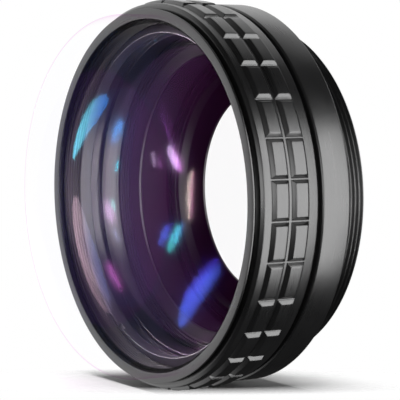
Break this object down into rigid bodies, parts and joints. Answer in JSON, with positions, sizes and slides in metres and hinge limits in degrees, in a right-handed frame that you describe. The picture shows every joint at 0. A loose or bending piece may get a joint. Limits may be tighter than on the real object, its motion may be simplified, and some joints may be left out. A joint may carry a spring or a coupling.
{
  "type": "wide-angle conversion lens",
  "caption": "Round screw-on conversion lens: padded grip ring with a bulging front glass, unscrewing from a smooth close-up ring with a male mounting thread.",
  "frame": {"origin": "centre of the rear end face, on the optical axis", "axes": "+Z along the optical axis, from the rear thread towards the front glass"},
  "size_m": [0.0596, 0.0596, 0.0313],
  "materials": {
    "anodised_black": "fine satin black anodised aluminium",
    "matte_black": "matte black anodised aluminium",
    "black_rubber": "smooth black rubber",
    "coated_glass": "polished glass with a violet anti-reflection coating",
    "optical_glass": "polished glass with a blue-green anti-reflection coating"
  },
  "bodies": {
    "macro_module": {"macro_barrel": "anodised_black", "rear_baffle_ring": "matte_black", "flint_element": "optical_glass", "crown_element": "optical_glass", "macro_retaining_ring": "matte_black"},
    "friction_ring": {"module_friction_ring": "black_rubber"},
    "wide_module": {"grip_barrel": "anodised_black", "spacer_ring": "matte_black", "second_element": "optical_glass", "inner_retaining_ring": "matte_black", "front_ring": "anodised_black", "front_gasket": "black_rubber", "front_element": "coated_glass"}
  },
  "joints": [
    {"name": "module_lift", "type": "slide", "parent": "macro_module", "child": "friction_ring", "axis": [0, 0, 1], "range_m": [0, 0.003]},
    {"name": "module_turn", "type": "hinge", "parent": "friction_ring", "child": "wide_module", "pos_m": [0, 0, 0.01114], "axis": [0, 0, 1], "range_deg": [0, 1440]}
  ],
  "couplings": [
    {"joint": "module_lift", "follows": "module_turn", "m_per_rad": 0.00011937}
  ]
}
